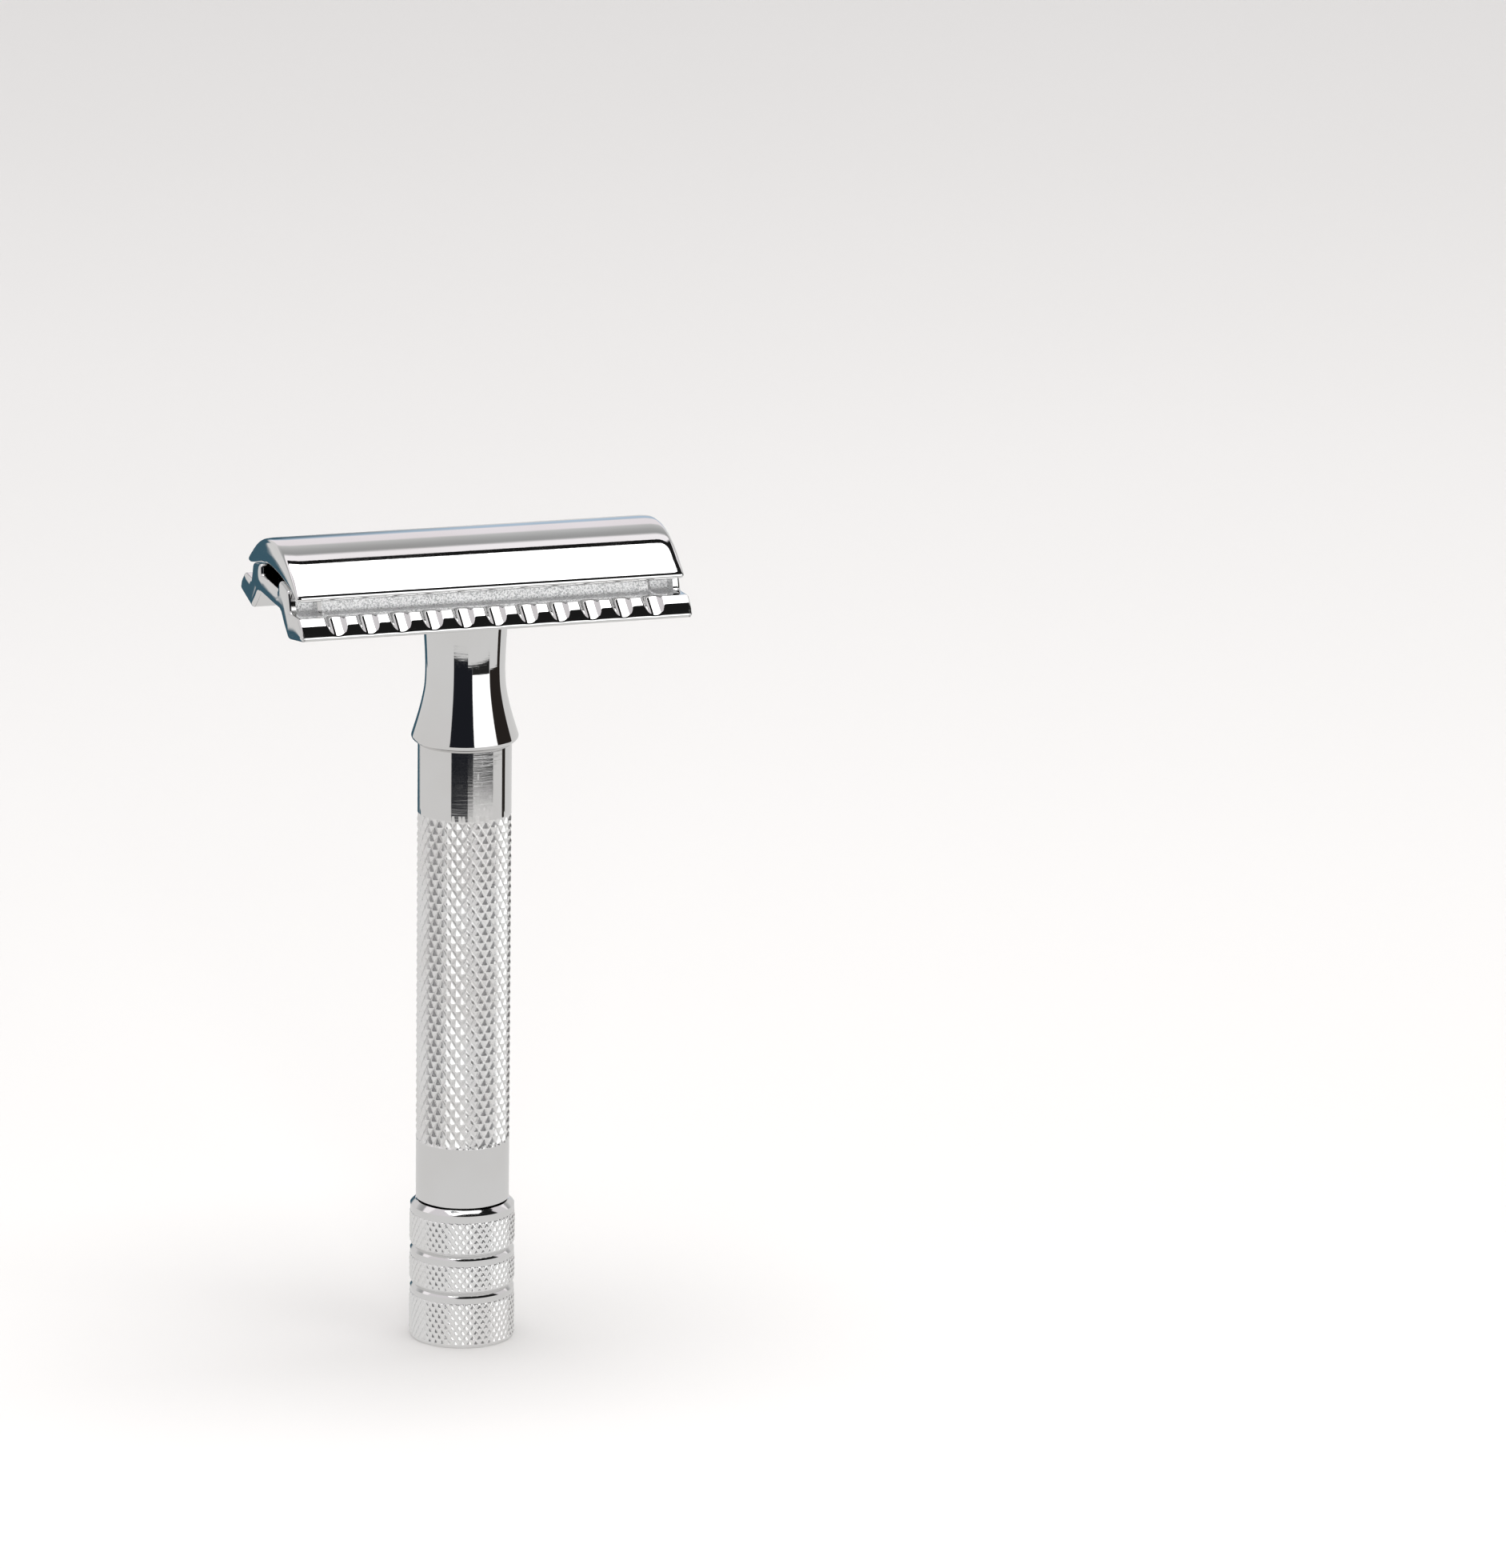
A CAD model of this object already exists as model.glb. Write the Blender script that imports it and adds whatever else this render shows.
"""Looks of the safety razor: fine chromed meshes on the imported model, with camera and light."""

import math

import bmesh
import bpy
import numpy as np
from mathutils import Matrix, Vector


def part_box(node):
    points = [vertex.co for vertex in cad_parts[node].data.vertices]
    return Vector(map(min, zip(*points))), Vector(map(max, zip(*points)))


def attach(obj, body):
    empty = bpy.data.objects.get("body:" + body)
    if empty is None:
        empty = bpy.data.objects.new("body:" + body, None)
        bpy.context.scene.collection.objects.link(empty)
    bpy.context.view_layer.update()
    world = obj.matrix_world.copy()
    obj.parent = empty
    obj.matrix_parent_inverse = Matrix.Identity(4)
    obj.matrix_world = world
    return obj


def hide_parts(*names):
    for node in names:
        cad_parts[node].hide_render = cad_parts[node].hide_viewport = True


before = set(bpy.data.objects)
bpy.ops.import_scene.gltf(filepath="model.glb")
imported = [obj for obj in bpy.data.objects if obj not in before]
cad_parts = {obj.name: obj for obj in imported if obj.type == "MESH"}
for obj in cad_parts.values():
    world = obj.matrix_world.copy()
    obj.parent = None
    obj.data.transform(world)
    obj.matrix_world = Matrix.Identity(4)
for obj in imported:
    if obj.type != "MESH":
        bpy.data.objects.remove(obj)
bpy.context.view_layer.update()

MM = 0.001
TURN = 2 * math.pi

# Head cross-section, measured from the CAD boxes where they hold it
CAP_LOW, CAP_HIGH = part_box("cap")
CAP_HALF_LENGTH = CAP_HIGH.x
CAP_HALF_WIDTH = CAP_HIGH.y
CAP_EDGE_Z = CAP_LOW.z
CAP_APEX_Z = CAP_HIGH.z
CAP_LIP_RADIUS = 0.38 * MM
CAP_ARCH_RISE = 1.4 * MM
CAP_END_ROUND = 0.5 * MM
CAP_END_CROWN = 1.0 * MM
CROWN_RADIUS = 9.0 * MM
CAP_STAKE_DEPTH = 1.6 * MM
STAKE_GAP = 0.05 * MM

PLATE_LOW, PLATE_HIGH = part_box("base_plate")
PLATE_HALF_LENGTH = PLATE_HIGH.x
PLATE_END_ROUND = 0.35 * MM
END_WALL = 0.95 * MM
RECESS_LENGTH = 2.7 * MM
RECESS_STEP = 0.14 * MM
BLOCK_EDGE_RUN = (0.0, 0.35 * MM, 0.47 * MM)
BLOCK_EDGE_SHARE = (0.0, 0.22, 1.0)
PIN_HOLE_RADIUS = 1.4 * MM
SPIGOT_HOLE_RADIUS = 3.16 * MM

# The ground ends of cap and plate are slightly domed
END_BULGE_RADIUS = 300 * MM
END_PILLOW = 0.08 * MM

# Corners of the plate's half section in mm: y, z above the cap's edge, corner radius;
# the last number is how many steps the line to the next corner is drawn in
PLATE_CORNERS = (
    (0.0, 0.0, 0.0, 6), (3.38, 0.0, 0.25, 5), (3.66, 1.10, 0.3, 10), (6.55, 0.63, 0.42, 10),
    (7.35, -1.54, 0.35, 24), (10.42, -1.39, 0.28, 12), (11.45, -2.2, 2.2, 13), (12.03, -3.42, 0.3, 12),
    (7.05, -4.28, 0.5, 6), (5.45, -3.07, 1.0, 5), (4.2, -1.87, 1.0, 8), (0.0, -1.87, 0.0, 0))
CORNER_STEPS = 5
# Where two of those corners move to inside the recesses, and which corners bound wall and bar
RECESS_CORNERS = {3: (5.2, 0.85), 4: (5.7, -1.75)}
WALL_CORNERS = (3, 5)
BAR_CORNERS = (4, 8)
# Middle line of the plate's half section in mm, that its ends are domed towards
PLATE_SPINE = ((0.0, -0.95), (3.0, -0.95), (4.6, -0.3), (5.6, -0.9),
               (7.2, -2.75), (9.5, -2.4), (11.3, -2.95))
# The unpolished part of the wall lies inside these limits
CAST_REACH = 9.3 * MM
CAST_TOP = 0.6 * MM

SCALLOPS_PER_SIDE = 11
SCALLOP_PITCH = 3.37 * MM
SCALLOP_HALF_WIDTH = 1.13 * MM
SCALLOP_DEPTH = 0.58 * MM
SCALLOP_FULLNESS = 2.7
SCALLOP_REACH = 1.45 * MM
SCALLOP_INNER = (9.6 * MM, -1.43 * MM)
SCALLOP_TIP = (11.9 * MM, -3.06 * MM)
SCALLOP_LIP = 0.07 * MM
FINE_STEP = 0.105 * MM
CLOSEST_STATIONS = 0.012 * MM

# Neck: height above the knob's flat end and radius (mm)
NECK_SHAPE = (
    (80.38, 4.3), (80.25, 4.5), (79.6, 4.52), (78.5, 4.46), (77.0, 4.37), (75.5, 4.27), (73.4, 4.165),
    (71.9, 4.14), (70.3, 4.22), (68.9, 4.46), (67.5, 4.8), (66.2, 5.18), (65.3, 5.46), (64.95, 5.56))
NECK_LIP_RADIUS = 0.5 * MM
NECK_SPLINE_STEPS = 6
NECK_SPIGOT_RADIUS = 3.1 * MM
NECK_SPIGOT_CHAMFER = 0.1 * MM
NECK_TAIL_RADIUS = 3.66 * MM
NECK_BORE = 3.27 * MM
NECK_STUD_BORE = 2.6 * MM
NECK_STEP_Z = 79.95 * MM

HANDLE_RADIUS = 4.87 * MM
HANDLE_BORE = 3.72 * MM
HANDLE_EDGE = 0.15 * MM
KNURL_BOTTOM_Z = 21.48 * MM
KNURL_TOP_Z = 56.81 * MM
KNURL_STARTS = 28
KNURL_PITCH = 1.63 * MM
KNURL_HEIGHT = 0.31 * MM
KNURL_SINK = 0.28 * MM
KNURL_FADE = 0.25 * MM
DIAMOND_TOP = 1 / 12
ROWS_PER_PITCH = 12

KNOB_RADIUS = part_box("knob")[1].x
# Rings from the top: shoulder top, shoulder foot, knurl top, knurl foot, ring foot (mm)
KNOB_RINGS = (
    (14.88, 14.4, 13.6, 10.25, 10.1), (9.93, 9.54, 8.85, 6.15, 6.0), (5.83, 5.44, 4.8, 0.3, 0.2))
KNOB_NECK_RADIUS = 4.92 * MM
KNOB_GROOVE_DEPTH = 0.5 * MM
KNOB_FOOT_ROUND = 0.2 * MM
KNOB_SEAT = 3.4 * MM
KNOB_SEAT_Z = 14.6 * MM
KNOB_BORE = 1.64 * MM
SHOULDER_BULGE = 0.014 * MM
SHOULDER_STEPS = 6
RING_STARTS = 46
RING_PITCH = 1.12 * MM
RING_HEIGHT = 0.15 * MM
RING_FADE = 0.12 * MM
# Hole for the screw in the knob's flat end
SCREW_SINK = 2.01 * MM
SCREW_HOLE = 1.06 * MM
SCREW_SINK_FOOT = 0.15 * MM
SCREW_CONE_TOP = 1.13 * MM
SCREW_HOLE_TOP = 1.7 * MM

THREAD_PITCH = 25.4 * MM / 32
THREAD_DEPTH = 0.42 * MM
THREAD_ROWS_PER_TURN = 14
# Turned solids are closed by a tiny flat of this radius on the axis
AXIS_RADIUS = 0.02 * MM

FLOOR_SIZE = 8.0
# Edge of the ledge that the chrome mirrors: azimuth off the camera's, from and to, and distance in mm
LEDGE_EDGES = (
    (-180.0, -140.0, 110.0), (-140.0, -34.0, 270.0), (-34.0, 8.0, 214.0), (8.0, 74.5, 228.0),
    (74.5, 104.0, 255.0), (104.0, 130.0, 205.0), (130.0, 180.0, 60.0))
LEDGE_Z = -0.3 * MM

CAMERA_TARGET = Vector((0.0, 0.0, 43.0 * MM))
CAMERA_AZIMUTH = -16.397
CAMERA_ELEVATION = 15.708
CAMERA_DISTANCE = 1060.3 * MM
CAMERA_ROLL = 0.755
CAMERA_PAN = 1.621
CAMERA_TILT = 0.877
CAMERA_LENS = 234.06612
SENSOR = 36.0

# How soft the edges of the softbox are in its mirror image
PANEL_SOFT = 0.006


# ---------------------------------------------------------------- node helper

class Graph:
    """Short calls for building shader and world nodes."""

    def __init__(self, tree):
        self.tree = tree

    def node(self, kind, **settings):
        made = self.tree.nodes.new(kind)
        for key, value in settings.items():
            setattr(made, key, value)
        return made

    def feed(self, socket, value):
        if isinstance(value, bpy.types.NodeSocket):
            self.tree.links.new(value, socket)
        else:
            socket.default_value = value

    def math(self, operation, *values):
        made = self.node("ShaderNodeMath", operation=operation)
        for socket, value in zip(made.inputs, values):
            self.feed(socket, value)
        return made.outputs[0]

    def smooth(self, value, low, high, start=0.0, end=1.0):
        """Runs smoothly from start to end as value goes from low to high."""
        made = self.node("ShaderNodeMapRange", interpolation_type="SMOOTHSTEP", clamp=True)
        for socket, item in zip(made.inputs, (value, low, high, start, end)):
            self.feed(socket, item)
        return made.outputs[0]

    def band(self, value, low, high, soft):
        """1 between low and high, fading to 0 over soft on both sides."""
        rise = self.smooth(value, low - soft, low + soft)
        fall = self.smooth(value, high - soft, high + soft, 1.0, 0.0)
        return self.math("MULTIPLY", rise, fall)

    def panel(self, first, second, corner):
        """1 inside a round-cornered panel; first and second are each (value, low, high)."""
        total = 0.0
        for value, low, high in (first, second):
            off_centre = self.math("ABSOLUTE", self.math("SUBTRACT", value, (low + high) / 2))
            inner_half = (high - low) / 2 - corner
            over = self.math("MAXIMUM", self.math("SUBTRACT", off_centre, inner_half), 0.0)
            total = self.math("MULTIPLY_ADD", over, over, total)
        distance = self.math("SQRT", total)
        return self.smooth(distance, corner - PANEL_SOFT, corner + PANEL_SOFT, 1.0, 0.0)

    def mix(self, factor, base, top):
        made = self.node("ShaderNodeMix", data_type="RGBA")
        self.feed(made.inputs[0], factor)
        self.feed(made.inputs[6], base)
        self.feed(made.inputs[7], top)
        return made.outputs[2]

    def noise(self, vector, scale, detail=2.0, roughness=0.5):
        made = self.node("ShaderNodeTexNoise")
        self.feed(made.inputs["Vector"], vector)
        self.feed(made.inputs["Scale"], scale)
        self.feed(made.inputs["Detail"], detail)
        self.feed(made.inputs["Roughness"], roughness)
        return made.outputs["Fac"]

    def stretch(self, vector, scale):
        made = self.node("ShaderNodeMapping")
        self.feed(made.inputs["Vector"], vector)
        made.inputs["Scale"].default_value = scale
        return made.outputs[0]

    def bump(self, height, distance, strength):
        made = self.node("ShaderNodeBump")
        made.inputs["Strength"].default_value = strength
        made.inputs["Distance"].default_value = distance
        self.feed(made.inputs["Height"], height)
        return made.outputs[0]


def grey(value, warmth=0.0):
    """A grey, warmer or cooler by a share of its value."""
    return (value * (1 + warmth), value, value * (1 - warmth), 1.0)


# ---------------------------------------------------------------- materials

def new_material(name):
    material = bpy.data.materials.new(name)
    material.use_nodes = True
    graph = Graph(material.node_tree)
    shader = material.node_tree.nodes["Principled BSDF"]
    shader.inputs["Metallic"].default_value = 1.0
    position = graph.node("ShaderNodeTexCoord").outputs["Object"]
    return material, graph, shader, position


def chrome(name, tone, roughness, wear=0.03, brushed=0.0, shine=1.0):
    """Chrome plate: a mirror with a slight haze and hairlines, or with lathe rings of depth brushed."""
    material, graph, shader, position = new_material(name)
    shader.inputs["Metallic"].default_value = shine
    haze = graph.noise(position, 90.0, 3.0)
    hair = graph.noise(graph.stretch(position, (2600.0, 2600.0, 900.0)), 1.0, 2.0, 0.6)
    tint = graph.mix(graph.smooth(haze, 0.35, 0.7), grey(tone), grey(tone * 0.95, 0.01))
    graph.feed(shader.inputs["Base Color"], tint)
    dull = graph.math("ADD", graph.smooth(haze, 0.4, 0.8, roughness, roughness + wear),
                      graph.smooth(hair, 0.62, 0.75, 0.0, wear))
    graph.feed(shader.inputs["Roughness"], dull)
    rings = graph.noise(graph.stretch(position, (260.0, 260.0, 4200.0)), 1.0, 3.0, 0.6)
    marks = rings if brushed else hair
    graph.feed(shader.inputs["Normal"], graph.bump(marks, max(brushed, 0.001 * MM), 0.6))
    return material


def cast_metal(name):
    """The plated casting where it was never polished: fine matt grains with bright flecks."""
    material, graph, shader, position = new_material(name)
    grains = graph.noise(position, 5200.0, 3.0, 0.7)
    patches = graph.noise(position, 900.0, 2.0)
    tone = graph.mix(graph.smooth(grains, 0.36, 0.58), grey(0.4, -0.02), grey(1.0))
    tone = graph.mix(graph.smooth(patches, 0.3, 0.8, 0.0, 0.35), tone, grey(0.8))
    height = graph.node("ShaderNodeSeparateXYZ")
    graph.feed(height.inputs[0], position)
    upper = graph.smooth(height.outputs[2], CAP_EDGE_Z - 0.65 * MM, CAP_EDGE_Z - 0.3 * MM)
    flecks = graph.math("MULTIPLY", upper, graph.smooth(grains, 0.44, 0.54))
    tone = graph.mix(flecks, tone, grey(1.0))
    graph.feed(shader.inputs["Base Color"], tone)
    shader.inputs["Metallic"].default_value = 0.12
    graph.feed(shader.inputs["Roughness"], graph.smooth(grains, 0.3, 0.8, 0.55, 0.3))
    graph.feed(shader.inputs["Normal"], graph.bump(grains, 0.05 * MM, 0.9))
    return material


def turned_metal(name, colour, roughness):
    """Lathe-turned metal: fine rings along the axis and a slight tarnish."""
    material, graph, shader, position = new_material(name)
    rings = graph.noise(graph.stretch(position, (300.0, 300.0, 9000.0)), 1.0, 2.0)
    tarnish = graph.noise(position, 400.0, 3.0)
    darker = tuple(0.72 * c for c in colour[:3]) + (1.0,)
    tone = graph.mix(graph.smooth(tarnish, 0.4, 0.75), colour, darker)
    graph.feed(shader.inputs["Base Color"], tone)
    graph.feed(shader.inputs["Roughness"], graph.smooth(rings, 0.3, 0.7, roughness, roughness + 0.15))
    graph.feed(shader.inputs["Normal"], graph.bump(rings, 0.01 * MM, 0.5))
    return material


def floor_paint():
    """The pale floor under the razor."""
    material = bpy.data.materials.new("pale_floor")
    material.use_nodes = True
    graph = Graph(material.node_tree)
    shader = material.node_tree.nodes["Principled BSDF"]
    position = graph.node("ShaderNodeTexCoord").outputs["Object"]
    cloud = graph.noise(position, 3.0, 2.0)
    tone = graph.mix(cloud, (0.80, 0.79, 0.775, 1.0), (0.84, 0.83, 0.82, 1.0))
    graph.feed(shader.inputs["Base Color"], tone)
    shader.inputs["Roughness"].default_value = 0.9
    shader.inputs["Specular IOR Level"].default_value = 0.1
    return material


# ---------------------------------------------------------------- mesh helpers

def add(name, data):
    """A new object in the scene."""
    item = bpy.data.objects.new(name, data)
    bpy.context.scene.collection.objects.link(item)
    return item


def mesh_of(bm, name):
    mesh = bpy.data.meshes.new(name)
    bm.to_mesh(mesh)
    bm.free()
    return mesh


def grid_object(name, grid, materials, wrap_rows=False, cap_ends=False, slots=None, sharp=38.0):
    """A closed mesh from rows of points, each row a ring; slots holds each quad's material number."""
    rows, columns = grid.shape[:2]
    index = np.arange(rows * columns).reshape(rows, columns)
    low = index if wrap_rows else index[:-1]
    high = np.roll(index, -1, axis=0) if wrap_rows else index[1:]
    quads = np.stack([low, high, np.roll(high, -1, axis=1), np.roll(low, -1, axis=1)], axis=-1)
    quads = quads.reshape(-1, 4)
    faces = quads.tolist()
    if cap_ends:
        faces += [index[0].tolist(), index[-1][::-1].tolist()]
    mesh = bpy.data.meshes.new(name)
    mesh.from_pydata(grid.reshape(-1, 3).tolist(), [], faces)
    for material in materials:
        mesh.materials.append(material)
    if slots is not None:
        chosen = np.zeros(len(faces), np.int32)
        chosen[:len(quads)] = slots.reshape(-1)
        mesh.polygons.foreach_set("material_index", chosen)
    close_and_orient(mesh)
    mesh.shade_smooth()
    mesh.set_sharp_from_angle(angle=math.radians(sharp))
    return add(name, mesh)


def close_and_orient(mesh):
    """Merges points that coincide and turns all faces outward."""
    bm = bmesh.new()
    bm.from_mesh(mesh)
    bmesh.ops.remove_doubles(bm, verts=bm.verts, dist=MM / 10000)
    bmesh.ops.recalc_face_normals(bm, faces=bm.faces)
    bm.to_mesh(mesh)
    bm.free()


def turned(profile, columns, relief=None):
    """Rings of points for a turned piece from (radius, height) points; relief(...) shifts their radii."""
    profile = np.asarray(profile, float)
    angle = np.arange(columns) * TURN / columns
    radius = np.repeat(profile[:, :1], columns, axis=1)
    height = np.repeat(profile[:, 1:2], columns, axis=1)
    angles = np.repeat(angle[None, :], len(profile), axis=0)
    if relief is not None:
        radius = radius + relief(angles, height, radius)
    return np.stack([radius * np.cos(angles), radius * np.sin(angles), height], axis=-1)


def finish_piece(item, node, body):
    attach(item, body)
    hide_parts(node)
    return item


def cut_holes(item, holes):
    """Cuts upright round holes, each (x, low z, high z, radius), out of a piece."""
    bm = bmesh.new()
    for x, low, high, radius in holes:
        place = Matrix.Translation((x, 0.0, (low + high) / 2))
        bmesh.ops.create_cone(bm, cap_ends=True, segments=64, radius1=radius, radius2=radius,
                              depth=high - low, matrix=place)
    cutter = add("holes", mesh_of(bm, "holes"))
    modifier = item.modifiers.new("holes", "BOOLEAN")
    modifier.operation = "DIFFERENCE"
    modifier.solver = "EXACT"
    modifier.object = cutter
    graph = bpy.context.evaluated_depsgraph_get()
    result = bpy.data.meshes.new_from_object(item.evaluated_get(graph))
    item.modifiers.clear()
    item.data = result
    result.name = item.name
    bpy.data.objects.remove(cutter)


def arc(centre, radius, start, end, steps):
    """Points on an arc in a (y, z) plane; angles run from +z towards +y."""
    angles = np.linspace(start, end, steps + 1)
    return [(centre[0] + radius * math.sin(a), centre[1] + radius * math.cos(a)) for a in angles]


def mirrored(half):
    """A closed outline from its +y half, whose first and last points are on the middle."""
    return np.array(half + [(-y, z) for y, z in reversed(half[1:-1])])


def nearest_on(spine, points):
    """For each point, the nearest point of a line through the spine's points, and how far it is."""
    best = None
    for start, end in zip(spine, spine[1:]):
        run = end - start
        share = np.clip(((points - start) @ run) / (run @ run), 0.0, 1.0)
        foot = start + share[:, None] * run
        gap = np.linalg.norm(points - foot, axis=1)
        if best is None:
            best, reach = foot, gap
        else:
            closer = gap < reach
            best = np.where(closer[:, None], foot, best)
            reach = np.minimum(gap, reach)
    return best, reach


def end_rows(outline, spine, half_length, radius, crown):
    """Rows that round off a piece's right end, outermost last; crown is a long, faint start to it."""
    foot, reach = nearest_on(spine, outline)
    inward = (foot - outline) / reach[:, None]
    local = np.minimum(radius, 0.75 * reach)
    lean = crown / CROWN_RADIUS
    steps = []
    for share in (0.0, 0.25, 0.5, 0.75) if crown else ():
        drop = local * (1 - math.sin(lean)) + crown * (1 - share)
        steps.append((crown * lean * share**2 / 2, drop))
    for a in np.linspace(lean, math.pi / 2, 7):
        inset = crown * lean / 2 + local * (math.cos(lean) - math.cos(a))
        steps.append((inset, local * (1 - math.sin(a))))
    last = steps[-1][0]
    steps += [(last + (0.97 * reach - last) * share, 0.0) for share in (0.35, 0.7, 1.0)]
    rows = []
    for inset, drop in steps:
        inset = inset * np.ones(len(outline))
        section = outline + inward * inset[:, None]
        share = 1 - inset / reach
        bulge = END_PILLOW * share**2 + section[:, 0]**2 / (2 * END_BULGE_RADIUS)
        rows.append(np.column_stack([half_length - drop - bulge, section]))
    return rows


def with_ends(rows, outline, spine, half_length, radius, crown=0.0):
    """Adds the rounded ends to the rows of a piece's straight part, left end first."""
    right = end_rows(outline, spine, half_length, radius, crown)
    left = [row * np.array((-1.0, 1.0, 1.0)) for row in right[::-1]]
    return left + rows + right


# ---------------------------------------------------------------- head

def make_cap(material):
    lip_y = CAP_HALF_WIDTH - CAP_LIP_RADIUS
    drop = CAP_APEX_Z - CAP_EDGE_Z - 2 * CAP_LIP_RADIUS
    reach = (lip_y**2 + drop**2) / (2 * drop)
    dome_angle = math.asin(lip_y / reach)
    dome = arc((0.0, CAP_APEX_Z - reach - CAP_LIP_RADIUS), reach + CAP_LIP_RADIUS, 0.0, dome_angle, 48)
    lip = arc((lip_y, CAP_EDGE_Z + CAP_LIP_RADIUS), CAP_LIP_RADIUS, dome_angle, math.pi, 10)[1:]
    arch_radius = (lip_y**2 + CAP_ARCH_RISE**2) / (2 * CAP_ARCH_RISE)
    arch_angle = math.asin(lip_y / arch_radius)
    arch_centre = CAP_EDGE_Z + CAP_ARCH_RISE - arch_radius
    arch = arc((0.0, arch_centre), arch_radius, arch_angle, 0.0, 20)[1:]
    outline = mirrored(dome + lip + arch)
    spine = []
    for y in np.linspace(-lip_y, lip_y, 41):
        upper = CAP_APEX_Z - reach - CAP_LIP_RADIUS + math.sqrt((reach + CAP_LIP_RADIUS)**2 - y**2)
        lower = arch_centre + math.sqrt(arch_radius**2 - y**2)
        spine.append(np.array((y, (upper + lower) / 2)))
    inner = np.linspace(-1.0, 1.0, 27) * (CAP_HALF_LENGTH - 2.0 * MM)
    rows = [np.column_stack([np.full(len(outline), x), outline]) for x in inner]
    rows = with_ends(rows, outline, spine, CAP_HALF_LENGTH, CAP_END_ROUND, CAP_END_CROWN)
    item = grid_object("cap_shell", np.array(rows), [material], cap_ends=True)
    top = CAP_EDGE_Z + CAP_ARCH_RISE + CAP_STAKE_DEPTH
    holes = []
    for node in ("cap_stud", "cap_pin_left", "cap_pin_right"):
        low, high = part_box(node)
        holes.append(((low.x + high.x) / 2, CAP_EDGE_Z, top, (high.x - low.x) / 2 + STAKE_GAP))
    cut_holes(item, holes)
    return finish_piece(item, "cap", "cap")


def rounded_path(corners):
    """Points along corners of (y, z, radius, steps), each an arc, and each point's corner number."""
    points, owner = [], []
    for number, (y, z, radius, steps) in enumerate(corners):
        here = np.array((y, z))
        if radius == 0.0:
            leave = here
            points.append(tuple(here))
            owner.append(number)
        else:
            before = np.array(corners[number - 1][:2]) - here
            after = np.array(corners[number + 1][:2]) - here
            before /= np.linalg.norm(before)
            after /= np.linalg.norm(after)
            half_angle = math.acos(float(np.clip(before @ after, -1, 1))) / 2
            reach = radius / math.tan(half_angle)
            middle = (before + after) / np.linalg.norm(before + after)
            centre = here + middle * radius / math.sin(half_angle)
            first = here + before * reach - centre
            last = here + after * reach - centre
            start = math.atan2(first[1], first[0])
            sweep = (math.atan2(last[1], last[0]) - start + math.pi) % TURN - math.pi
            for step in range(CORNER_STEPS + 1):
                angle = start + sweep * step / CORNER_STEPS
                points.append(tuple(centre + radius * np.array((math.cos(angle), math.sin(angle)))))
                owner.append(number)
            leave = here + after * reach
        if steps:
            y2, z2, radius2, _ = corners[number + 1]
            there = np.array((y2, z2))
            if radius2:
                back = here - there
                back /= np.linalg.norm(back)
                onward = np.array(corners[number + 2][:2]) - there
                onward /= np.linalg.norm(onward)
                opening = math.acos(float(np.clip(back @ onward, -1, 1))) / 2
                there = there + back * radius2 / math.tan(opening)
            for step in range(1, steps):
                points.append(tuple(leave + (there - leave) * step / steps))
                owner.append(number)
    return points, owner


def plate_half(corners):
    scaled = [(y * MM, CAP_EDGE_Z + z * MM, radius * MM, steps) for y, z, radius, steps in corners]
    return rounded_path(scaled)


def plate_stations():
    """Places along the plate where its section is drawn, closest at scallops and recesses."""
    reach = (SCALLOPS_PER_SIDE - 1) / 2 * SCALLOP_PITCH + SCALLOP_REACH + 2 * FINE_STEP
    count = int(round(2 * reach / FINE_STEP))
    places = list(np.linspace(-reach, reach, count + 1))
    wall = PLATE_HALF_LENGTH - END_WALL
    block = wall - RECESS_LENGTH
    edges = [wall - RECESS_STEP, wall - RECESS_STEP / 2, wall, wall + 0.5 * MM]
    edges += [block + run for run in BLOCK_EDGE_RUN]
    places += edges + [-x for x in edges]
    kept = []
    for x in sorted(places):
        if not kept or x - kept[-1] > CLOSEST_STATIONS:
            kept.append(x)
    return kept


def recess_share(x):
    """1 inside the recess between block and end wall, 0 outside; the block's edge is chamfered."""
    wall = PLATE_HALF_LENGTH - END_WALL
    past_block = abs(x) - (wall - RECESS_LENGTH)
    before_wall = wall - abs(x)
    return min(float(np.interp(past_block, BLOCK_EDGE_RUN, BLOCK_EDGE_SHARE)),
               float(np.interp(before_wall, (0.0, RECESS_STEP), (0.0, 1.0))))


def is_cast(x):
    """Whether the wall under the cap is unpolished at x: not at an end wall or a block's edge."""
    wall = PLATE_HALF_LENGTH - END_WALL
    past_block = abs(x) - (wall - RECESS_LENGTH)
    return abs(x) < wall and not 0.0 < past_block < BLOCK_EDGE_RUN[1]


def carve_scallops(section, x, carved):
    """Lowers the points of both bars that stand inside a scallop's sloping U-shaped cut."""
    limit = (SCALLOPS_PER_SIDE - 1) // 2
    nearest = max(-limit, min(limit, round(x / SCALLOP_PITCH)))
    across = abs(x - nearest * SCALLOP_PITCH)
    if across >= SCALLOP_REACH:
        return section
    inner = np.array((SCALLOP_INNER[0], CAP_EDGE_Z + SCALLOP_INNER[1]))
    tip = np.array((SCALLOP_TIP[0], CAP_EDGE_Z + SCALLOP_TIP[1]))
    run = (tip - inner) / np.linalg.norm(tip - inner)
    outward = np.array((-run[1], run[0]))
    floor = SCALLOP_DEPTH * (across / SCALLOP_HALF_WIDTH)**SCALLOP_FULLNESS
    side = np.where(section[:, 0] < 0, -1.0, 1.0)
    local = np.column_stack([section[:, 0] * side, section[:, 1]]) - inner
    gap = local @ outward - floor
    shift = np.where(carved, (gap + np.sqrt(gap**2 + SCALLOP_LIP**2)) / 2, 0.0)
    moved = section.copy()
    moved[:, 0] -= shift * outward[0] * side
    moved[:, 1] -= shift * outward[1]
    return moved


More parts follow.
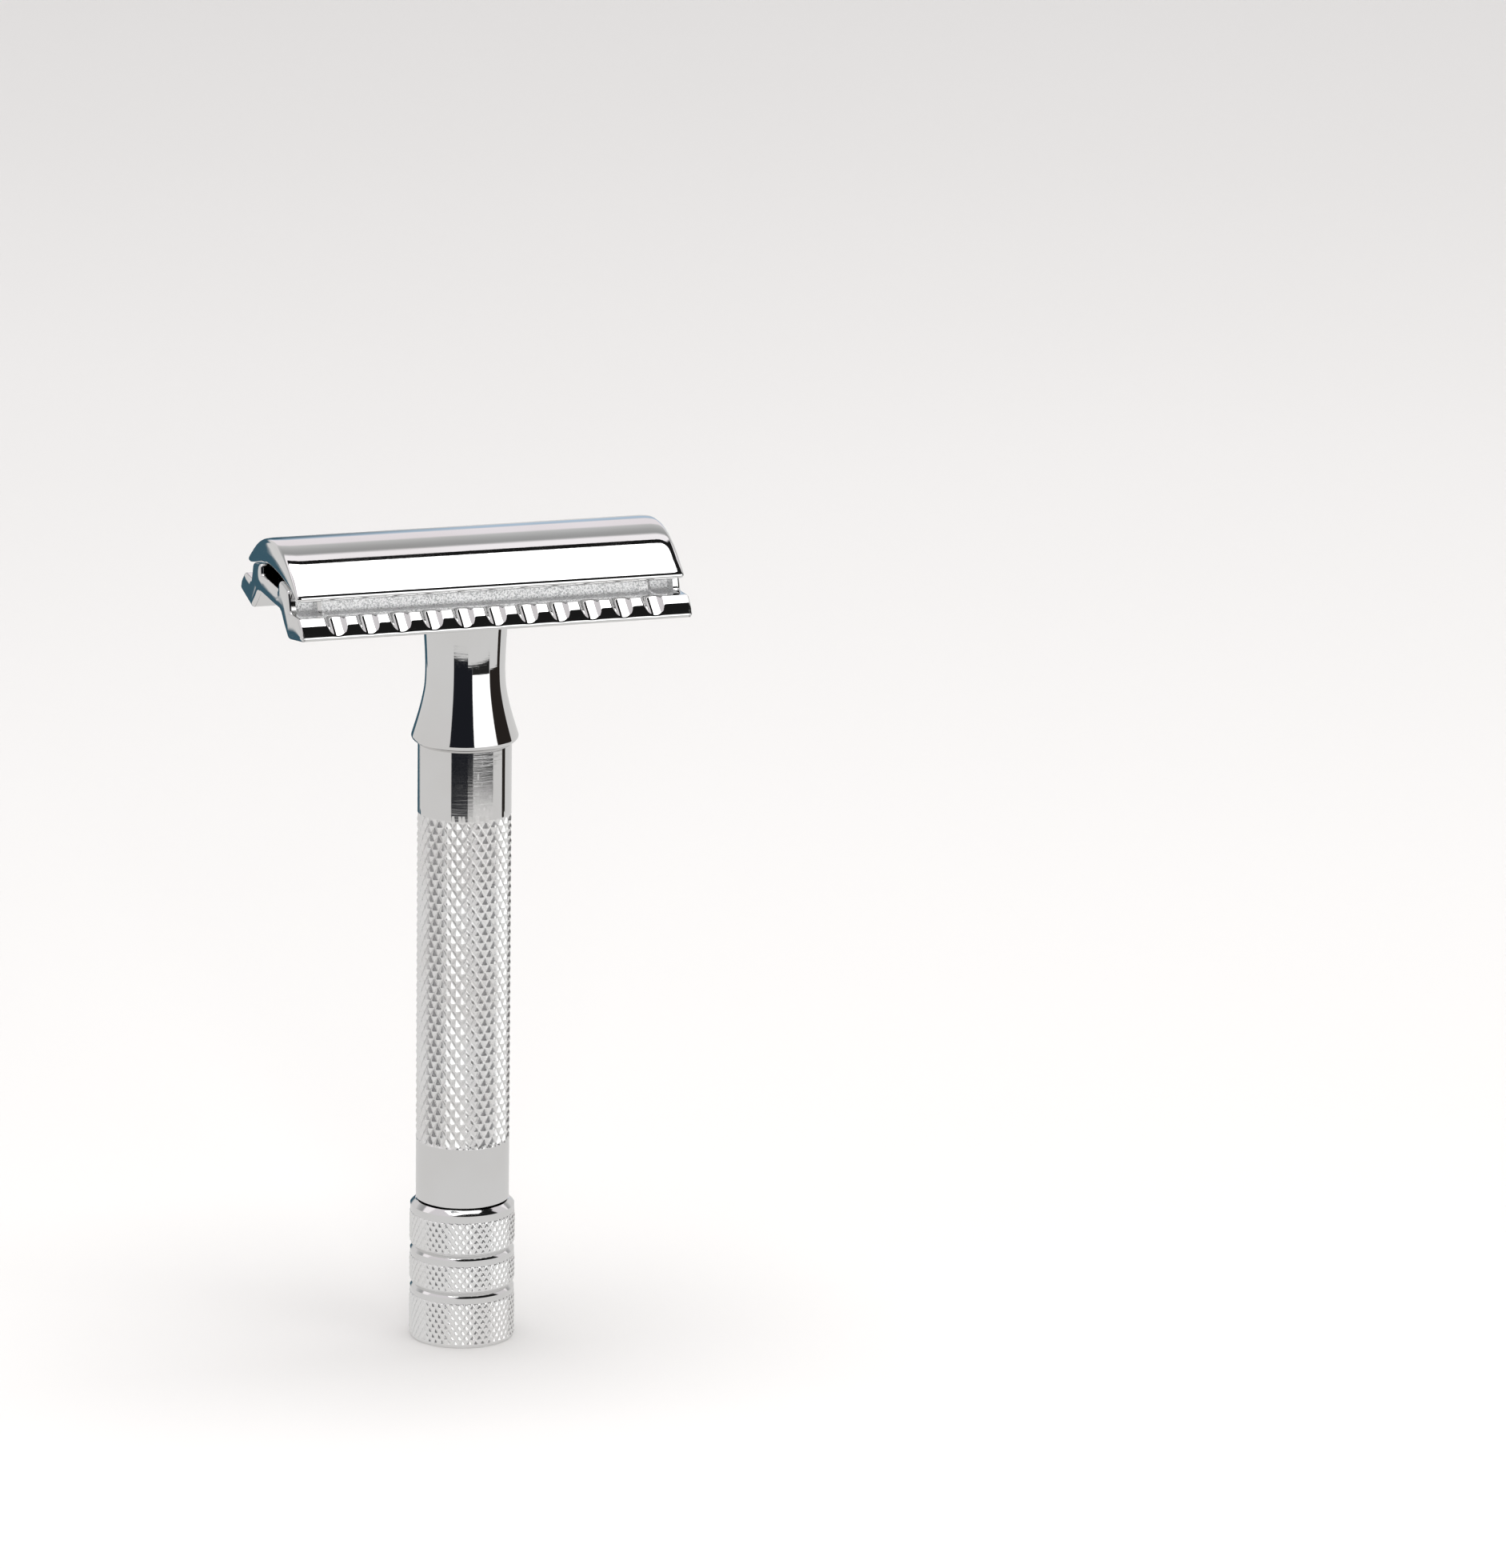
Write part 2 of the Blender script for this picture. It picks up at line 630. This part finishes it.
def make_base_plate(polished, cast):
    half, owner = plate_half(PLATE_CORNERS)
    hollowed = [corner if n not in RECESS_CORNERS else (*RECESS_CORNERS[n], *corner[2:])
                for n, corner in enumerate(PLATE_CORNERS)]
    recess_half, _ = plate_half(hollowed)
    outline = mirrored(half)
    recess = mirrored(recess_half)
    owners = np.array(owner + owner[1:-1][::-1])
    carved = (owners >= BAR_CORNERS[0]) & (owners < BAR_CORNERS[1])
    on_wall = (owners >= WALL_CORNERS[0]) & (owners < WALL_CORNERS[1])
    rows, slots = [], []
    stations = plate_stations()
    for x, following in zip(stations, stations[1:] + [PLATE_HALF_LENGTH]):
        share = recess_share(x)
        section = carve_scallops(outline * (1 - share) + recess * share, x, carved)
        rows.append(np.column_stack([np.full(len(section), x), section]))
        inside = np.abs(section[:, 0]) < CAST_REACH
        shelf = on_wall & inside & (section[:, 1] < CAP_EDGE_Z + CAST_TOP)
        slots.append(shelf & is_cast((x + following) / 2))
    half_spine = [(y * MM, CAP_EDGE_Z + z * MM) for y, z in PLATE_SPINE]
    spine = [np.array((-y, z)) for y, z in half_spine[:0:-1]] + [np.array(p) for p in half_spine]
    rows = with_ends(rows, outline, spine, PLATE_HALF_LENGTH, PLATE_END_ROUND)
    extra = (len(rows) - len(slots)) // 2
    plain = [np.zeros(len(outline), bool)] * extra
    slots = np.array(plain + slots + plain)[:-1]
    item = grid_object("base_plate_casting", np.array(rows), [polished, cast], cap_ends=True,
                       slots=slots.astype(np.int32))
    holes = [(0.0, PLATE_LOW.z, CAP_APEX_Z, SPIGOT_HOLE_RADIUS)]
    for node in ("cap_pin_left", "cap_pin_right"):
        low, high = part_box(node)
        holes.append(((low.x + high.x) / 2, PLATE_LOW.z, CAP_APEX_Z, PIN_HOLE_RADIUS))
    cut_holes(item, holes)
    return finish_piece(item, "base_plate", "handle")


def thread_relief(low, high):
    """The relief of a right-handed thread between two heights."""
    def relief(angle, height, radius):
        phase = (height / THREAD_PITCH - angle / TURN) % 1.0
        groove = np.clip(1.0 - np.abs(phase - 0.5) * 2.6, 0.0, 1.0)
        inside = (height > low) & (height < high)
        return -THREAD_DEPTH * groove * inside
    return relief


def make_stud(material):
    low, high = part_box("cap_stud")
    radius = high.x
    edge = THREAD_PITCH / 2
    thread_top = CAP_EDGE_Z - 0.2 * MM
    rows = int((thread_top - low.z) / THREAD_PITCH * THREAD_ROWS_PER_TURN)
    profile = [(AXIS_RADIUS, low.z), (radius - edge - THREAD_DEPTH / 2, low.z)]
    profile += [(radius, z) for z in np.linspace(low.z + edge, thread_top, rows)]
    profile += [(radius, high.z), (AXIS_RADIUS, high.z)]
    grid = turned(profile, 48, thread_relief(low.z + edge / 2, thread_top))
    item = grid_object("cap_stud_thread", grid, [material], cap_ends=True, sharp=50.0)
    return finish_piece(item, "cap_stud", "cap")


def make_pin(material, node):
    low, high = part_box(node)
    radius = (high.x - low.x) / 2
    edge = radius / 4
    nose = [(y, low.z + edge - z) for y, z in arc((radius - edge, 0.0), edge, math.pi / 2, 0.0, 6)]
    profile = [(AXIS_RADIUS, low.z)] + nose[::-1] + [(radius, high.z), (AXIS_RADIUS, high.z)]
    grid = turned(profile, 48)
    grid[..., 0] += (low.x + high.x) / 2
    item = grid_object(node + "_post", grid, [material], cap_ends=True)
    return finish_piece(item, node, "cap")


# ---------------------------------------------------------------- neck and handle

def spline(points, steps):
    """A smooth curve through points (Catmull-Rom)."""
    points = np.array(points, float)
    padded = np.vstack([2 * points[0] - points[1], points, 2 * points[-1] - points[-2]])
    curve = []
    for a, b, c, d in zip(padded, padded[1:], padded[2:], padded[3:]):
        for step in range(steps):
            t = step / steps
            curve.append(0.5 * (2 * b + (c - a) * t + (2 * a - 5 * b + 4 * c - d) * t**2
                                + (3 * b - a - 3 * c + d) * t**3))
    return [tuple(p) for p in curve] + [tuple(points[-1])]


def make_neck(material):
    low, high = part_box("neck_collar")
    shape = [(radius * MM, height * MM) for height, radius in NECK_SHAPE]
    curve = spline(shape, NECK_SPLINE_STEPS)
    rim_radius, rim_z = shape[-1]
    lip = arc((rim_radius - NECK_LIP_RADIUS, rim_z), NECK_LIP_RADIUS, math.pi / 2, math.pi, 8)[1:]
    profile = [(NECK_SPIGOT_RADIUS - NECK_SPIGOT_CHAMFER, high.z),
               (NECK_SPIGOT_RADIUS, high.z - NECK_SPIGOT_CHAMFER), (NECK_SPIGOT_RADIUS, shape[0][1])]
    profile += curve + lip + [(NECK_TAIL_RADIUS, lip[-1][1] - 0.04 * MM), (NECK_TAIL_RADIUS, low.z)]
    profile += [(NECK_BORE, low.z), (NECK_BORE, NECK_STEP_Z)]
    profile += [(NECK_STUD_BORE, NECK_STEP_Z), (NECK_STUD_BORE, high.z)]
    item = grid_object("neck_bell", turned(profile, 144), [material], wrap_rows=True)
    return finish_piece(item, "neck_collar", "handle")


def groove(phase):
    """The height between V grooves that lie at whole phases: 0 in a groove, 1 on the tops between."""
    distance = np.abs(phase - np.round(phase))
    return np.clip(distance / (0.5 - DIAMOND_TOP), 0.0, 1.0)


def knurl(angle, height, starts, pitch, bands, fade, rise, sink):
    """How far the surface moves out: diamonds between crossing helical grooves, inside the bands."""
    around = starts * angle / TURN
    moved = np.zeros_like(height)
    for low, high in bands:
        along = (height - high) / pitch
        lattice = np.minimum(groove(around + along), groove(around - along))
        t = np.clip(np.minimum(height - low, high - height) / fade, 0.0, 1.0)
        moved += (lattice * rise - sink) * t * t * (3 - 2 * t)
    return moved


def knurl_heights(low, high, pitch):
    """Heights of a knurled band's rows, from the top down, that put mesh corners on the grooves."""
    step = pitch / ROWS_PER_PITCH
    return [high - step * n for n in range(int((high - low) / step) + 1)] + [low]


def make_handle(smooth, grip):
    low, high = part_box("handle_tube")
    heights = knurl_heights(KNURL_BOTTOM_Z, KNURL_TOP_Z, KNURL_PITCH)
    above = list(np.linspace(high.z - HANDLE_EDGE, KNURL_TOP_Z, 12, endpoint=False))
    below = list(np.linspace(KNURL_BOTTOM_Z, low.z + HANDLE_EDGE, 10))[1:]
    profile = [(HANDLE_BORE, high.z), (HANDLE_RADIUS - HANDLE_EDGE, high.z)]
    profile += [(HANDLE_RADIUS, z) for z in above + heights + below]
    profile += [(HANDLE_RADIUS - HANDLE_EDGE, low.z), (HANDLE_BORE, low.z)]
    columns = KNURL_STARTS * ROWS_PER_PITCH
    gripping = [KNURL_BOTTOM_Z < z < KNURL_TOP_Z + 0.05 * MM for _, z in profile]
    slots = np.repeat(np.array(gripping, np.int32)[:, None], columns, axis=1)

    def relief(angle, height, radius):
        outside = radius > HANDLE_RADIUS - HANDLE_EDGE / 2
        moved = knurl(angle, height, KNURL_STARTS, KNURL_PITCH, ((KNURL_BOTTOM_Z, KNURL_TOP_Z),),
                      KNURL_FADE, KNURL_HEIGHT, KNURL_SINK)
        return outside * moved

    grid = turned(profile, columns, relief)
    item = grid_object("handle_grip", grid, [smooth, grip], wrap_rows=True, slots=slots, sharp=30.0)
    return finish_piece(item, "handle_tube", "handle")


# ---------------------------------------------------------------- knob

def shoulder(inner, top, outer, foot):
    """A slightly rounded slope from (inner, top) down to (outer, foot)."""
    points = []
    for step in range(SHOULDER_STEPS + 1):
        share = step / SHOULDER_STEPS
        bulge = 4 * SHOULDER_BULGE * share * (1 - share) * math.sqrt(0.5)
        points.append((inner + (outer - inner) * share + bulge, top + (foot - top) * share + bulge))
    return points


def make_knob(smooth, grip):
    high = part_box("knob")[1]
    base = KNOB_RADIUS - RING_HEIGHT
    profile = [(KNOB_SEAT, high.z), (KNOB_NECK_RADIUS - 0.02 * MM, high.z)]
    bands = []
    inner = KNOB_NECK_RADIUS
    for number, ring in enumerate(KNOB_RINGS):
        top, shoulder_foot, knurl_top, knurl_foot, foot = (z * MM for z in ring)
        bands.append((knurl_foot, knurl_top))
        outer = base + RING_HEIGHT / 2
        profile += shoulder(inner, top, outer, shoulder_foot)
        profile += [(outer, knurl_top + 0.12 * MM)]
        profile += [(base, z) for z in knurl_heights(knurl_foot, knurl_top, RING_PITCH)]
        profile += [(base, foot + 0.05 * MM)]
        inner = KNOB_RADIUS - KNOB_GROOVE_DEPTH
        if number < len(KNOB_RINGS) - 1:
            profile += [(base - 0.06 * MM, foot), (inner, foot - 0.04 * MM)]
    foot_centre = (base - KNOB_FOOT_ROUND, KNOB_FOOT_ROUND)
    profile += arc(foot_centre, KNOB_FOOT_ROUND, math.pi / 2, math.pi, 5)[1:]
    profile += [(SCREW_SINK, 0.0), (SCREW_SINK, SCREW_SINK_FOOT), (SCREW_HOLE, SCREW_CONE_TOP),
                (SCREW_HOLE, SCREW_HOLE_TOP), (KNOB_BORE, SCREW_HOLE_TOP), (KNOB_BORE, KNOB_SEAT_Z),
                (KNOB_SEAT, KNOB_SEAT_Z)]
    columns = RING_STARTS * ROWS_PER_PITCH
    outermost = base - RING_HEIGHT / 2
    gripping = [radius > outermost and any(low < z <= top + 0.02 * MM for low, top in bands)
                for radius, z in profile]
    slots = np.repeat(np.array(gripping, np.int32)[:, None], columns, axis=1)

    def relief(angle, height, radius):
        outside = np.abs(radius - base) < 0.01 * MM
        moved = knurl(angle, height, RING_STARTS, RING_PITCH, bands, RING_FADE, RING_HEIGHT, 0.0)
        return outside * moved

    grid = turned(profile, columns, relief)
    item = grid_object("knob_rings", grid, [smooth, grip], wrap_rows=True, slots=slots, sharp=35.0)
    return finish_piece(item, "knob", "knob")


def dress_inner_pieces():
    """Gives the hidden CAD pieces their turned-metal finishes."""
    brass = turned_metal("turned_brass", (0.72, 0.53, 0.24, 1.0), 0.25)
    steel = turned_metal("turned_steel", (0.60, 0.60, 0.62, 1.0), 0.25)
    finishes = {"rod_bush": brass, "threaded_socket": brass, "thrust_washer": brass,
                "draw_rod": steel, "wave_washer": steel, "retaining_clip": steel, "knob_screw": steel}
    for node, material in finishes.items():
        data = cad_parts[node].data
        data.materials.clear()
        data.materials.append(material)


# ---------------------------------------------------------------- stage

def make_floor():
    bm = bmesh.new()
    bmesh.ops.create_grid(bm, x_segments=8, y_segments=8, size=FLOOR_SIZE / 2)
    floor = add("floor", mesh_of(bm, "floor"))
    floor.data.materials.append(floor_paint())
    floor.visible_glossy = False


def make_ledge():
    """The pale ledge the razor stands on, as only its chrome mirrors it."""
    bm = bmesh.new()
    points = []
    for start, end, radius in LEDGE_EDGES:
        for step in range(9):
            azimuth = math.radians(start + (end - start) * step / 8 + CAMERA_AZIMUTH)
            points.append((radius * MM * math.sin(azimuth), -radius * MM * math.cos(azimuth), LEDGE_Z))
    bm.faces.new([bm.verts.new(p) for p in points])
    material = bpy.data.materials.new("ledge_paint")
    material.use_nodes = True
    shader = material.node_tree.nodes["Principled BSDF"]
    shader.inputs["Base Color"].default_value = grey(0.0)
    shader.inputs["Emission Color"].default_value = grey(0.68, 0.01)
    shader.inputs["Emission Strength"].default_value = 1.0
    shader.inputs["Specular IOR Level"].default_value = 0.0
    ledge = add("mirrored_ledge", mesh_of(bm, "mirrored_ledge"))
    ledge.data.materials.append(material)
    ledge.visible_camera = False
    ledge.visible_diffuse = False
    ledge.visible_shadow = False


def far_wall(g, walls, along, elevation, azimuth, y):
    """The wall behind, seen in the cap's top: white, grey, pink and blue bands."""
    far = g.smooth(y, 0.3, 0.36)
    white_band = g.math("MULTIPLY", g.smooth(along, 0.92, 0.80), g.smooth(elevation, 20.0, 25.0))
    walls = g.mix(g.math("MULTIPLY", white_band, far), walls, (1.0, 0.96, 0.98, 1.0))
    grey_band = g.math("MULTIPLY", g.smooth(along, 0.80, 0.95), g.smooth(along, 1.55, 1.95, 1.0, 0.0))
    greys = g.mix(g.smooth(along, 0.9, 1.7), grey(0.36), grey(0.55))
    walls = g.mix(g.math("MULTIPLY", grey_band, far), walls, greys)
    straight = g.math("MULTIPLY", far, g.smooth(g.math("ABSOLUTE", azimuth), 160.0, 168.0))
    pink_band = g.math("MULTIPLY", g.smooth(along, 1.6, 1.95), g.smooth(elevation, 9.0, 14.0))
    walls = g.mix(g.math("MULTIPLY", pink_band, straight), walls, (0.86, 0.81, 0.84, 1.0))
    sky_band = g.math("MULTIPLY", g.smooth(elevation, 14.0, 9.0), g.smooth(elevation, -2.0, 2.0))
    return g.mix(g.math("MULTIPLY", sky_band, straight), walls, (0.45, 0.56, 0.68, 1.0))


def teal_corner(g, walls, elevation, azimuth):
    """A dark teal corner behind on the left."""
    left_back = g.band(azimuth, -179.0, -147.8, 0.9)
    low_left = g.math("MULTIPLY", g.band(azimuth, -179.0, -138.0, 1.5), g.smooth(elevation, -14.2, -15.4))
    teal = g.math("MAXIMUM", g.math("MULTIPLY", left_back, g.smooth(elevation, 12.0, 4.0)), low_left)
    return g.mix(teal, walls, (0.048, 0.105, 0.142, 1.0))


def ceiling_gaps(g, walls, across, along, elevation, y, z):
    """Dark gaps in the ceiling: in front, and on the right beyond the softbox."""
    forward = g.smooth(y, -0.02, 0.02, 1.0, 0.0)
    gap = g.math("MULTIPLY", g.smooth(elevation, 24.0, 27.0), forward)
    gap = g.math("MULTIPLY", gap, g.smooth(across, -0.30, -0.20))
    walls = g.mix(gap, walls, grey(0.012))
    slope = g.math("SUBTRACT", g.math("MULTIPLY", across, 0.87), along)
    beside = g.math("MULTIPLY", g.band(across, 0.42, 0.78, 0.03), g.smooth(slope, -0.22, -0.12))
    beside = g.math("MULTIPLY", beside, g.smooth(z, -0.05, 0.0))
    return g.mix(beside, walls, grey(0.012))


def horizon_ring(g, walls, elevation, azimuth):
    """Round the horizon in front: a dark block, a bright window and a dark post."""
    low_ring = g.smooth(elevation, 28.5, 31.5, 1.0, 0.0)
    dark = g.math("MULTIPLY", g.band(azimuth, -33.0, 21.0, 0.8), low_ring)
    walls = g.mix(dark, walls, (0.012, 0.013, 0.017, 1.0))
    window = g.math("MULTIPLY", g.band(azimuth, 21.0, 74.0, 0.6), low_ring)
    glass = g.mix(g.smooth(elevation, -14.5, -14.15), grey(0.02), grey(1.5))
    walls = g.mix(window, walls, glass)
    post = g.math("MULTIPLY", g.band(azimuth, 75.0, 118.0, 0.8), low_ring)
    return g.mix(post, walls, (0.022, 0.018, 0.016, 1.0))


def softbox(g, walls, across, along, z):
    """Dark frame and bright face of the softbox overhead."""
    upward = g.smooth(z, 0.08, 0.12)
    rim = g.panel((across, -0.36, 0.50), (along, -0.31, 0.63), 0.2)
    walls = g.mix(g.math("MULTIPLY", rim, upward), walls, grey(0.01))
    face = g.panel((across, -0.375, 0.43), (along, -0.24, 0.512), 0.17)
    return g.mix(g.math("MULTIPLY", face, upward), walls, grey(2.4))


def make_world():
    """A pale studio as the chrome mirrors it; the camera itself sees an even pale background."""
    world = bpy.data.worlds.new("studio")
    bpy.context.scene.world = world
    world.use_nodes = True
    tree = world.node_tree
    tree.nodes.clear()
    g = Graph(tree)
    axes = g.node("ShaderNodeSeparateXYZ")
    g.feed(axes.inputs[0], g.node("ShaderNodeTexCoord").outputs["Generated"])
    x, y, z = axes.outputs
    level = g.math("MAXIMUM", z, 0.02)
    across = g.math("DIVIDE", x, level)
    along = g.math("DIVIDE", y, level)
    elevation = g.math("MULTIPLY", g.math("ARCSINE", z), 180 / math.pi)
    azimuth = g.math("ARCTAN2", x, g.math("MULTIPLY", y, -1.0))
    azimuth = g.math("SUBTRACT", g.math("MULTIPLY", azimuth, 180 / math.pi), CAMERA_AZIMUTH)
    azimuth = g.math("WRAP", azimuth, 180.0, -180.0)

    walls = g.mix(g.smooth(elevation, 5.0, 60.0), grey(0.68, 0.01), (0.72, 0.69, 0.71, 1.0))
    walls = far_wall(g, walls, along, elevation, azimuth, y)
    walls = teal_corner(g, walls, elevation, azimuth)
    walls = ceiling_gaps(g, walls, across, along, elevation, y, z)
    walls = horizon_ring(g, walls, elevation, azimuth)
    walls = softbox(g, walls, across, along, z)

    seen = g.node("ShaderNodeLightPath").outputs["Is Camera Ray"]
    background = g.node("ShaderNodeBackground")
    g.feed(background.inputs["Color"], g.mix(seen, walls, (0.86, 0.855, 0.845, 1.0)))
    output = g.node("ShaderNodeOutputWorld")
    tree.links.new(background.outputs[0], output.inputs[0])


def soft_light(name, size, energy, location, turn):
    """A square light that the chrome doesn't mirror, because the world already holds its mirror images."""
    data = bpy.data.lights.new(name, "AREA")
    data.size = size
    data.energy = energy
    light = add(name, data)
    light.location = location
    light.rotation_euler = [math.radians(angle) for angle in turn]
    light.visible_glossy = False
    return data


def make_lights():
    """An overhead light for the floor and a low one in front for the unpolished wall under the cap."""
    soft_light("overhead_soft", 0.7, 5.0, (0.1, -0.15, 0.95), (-8.0, 6.0, 0.0))
    fill = soft_light("front_fill", 0.3, 1.3, (-0.2, -0.9, 0.13), (87.0, 0.0, -12.0))
    fill.spread = math.radians(90)


def make_camera():
    """The camera at the product view: aimed at the handle's middle, then panned, tilted and rolled."""
    azimuth = math.radians(CAMERA_AZIMUTH)
    elevation = math.radians(CAMERA_ELEVATION)
    level = math.cos(elevation)
    back = Vector((math.sin(azimuth) * level, -math.cos(azimuth) * level, math.sin(elevation)))
    position = CAMERA_TARGET + back * CAMERA_DISTANCE
    right = (-back).cross(Vector((0, 0, 1))).normalized()
    up = right.cross(-back)
    pan = right * math.tan(math.radians(CAMERA_PAN))
    tilt = up * math.tan(math.radians(CAMERA_TILT))
    ahead = (-back + pan + tilt).normalized()
    right = ahead.cross(Vector((0, 0, 1))).normalized()
    up = right.cross(ahead)
    roll = math.radians(CAMERA_ROLL)
    rolled_right = right * math.cos(roll) + up * math.sin(roll)
    rolled_up = up * math.cos(roll) - right * math.sin(roll)
    basis = Matrix((rolled_right, rolled_up, -ahead)).transposed().to_4x4()
    data = bpy.data.cameras.new("camera")
    data.sensor_width = SENSOR
    data.lens = CAMERA_LENS
    data.clip_start = 0.05
    data.clip_end = 50.0
    camera = add("camera", data)
    camera.matrix_world = Matrix.Translation(position) @ basis
    bpy.context.scene.camera = camera


def main():
    polished = chrome("cap_mirror_chrome", 0.86, 0.03)
    plate = chrome("plate_mirror_chrome", 0.84, 0.04)
    neck = chrome("neck_turned_chrome", 0.84, 0.03, brushed=0.002 * MM)
    handle = chrome("handle_turned_chrome", 0.84, 0.05, brushed=0.0025 * MM)
    knob = chrome("knob_turned_chrome", 0.84, 0.08, brushed=0.002 * MM)
    grip = chrome("knurled_chrome", 0.9, 0.24, wear=0.06, shine=0.88)
    stud = chrome("stud_plated_brass", 0.76, 0.18, wear=0.08)
    cast = cast_metal("plate_unpolished_casting")
    make_cap(polished)
    make_base_plate(plate, cast)
    make_stud(stud)
    for node in ("cap_pin_left", "cap_pin_right"):
        make_pin(stud, node)
    make_neck(neck)
    make_handle(handle, grip)
    make_knob(knob, grip)
    dress_inner_pieces()
    make_floor()
    make_ledge()
    make_world()
    make_lights()
    make_camera()
    bpy.context.scene.view_settings.view_transform = "Standard"


main()
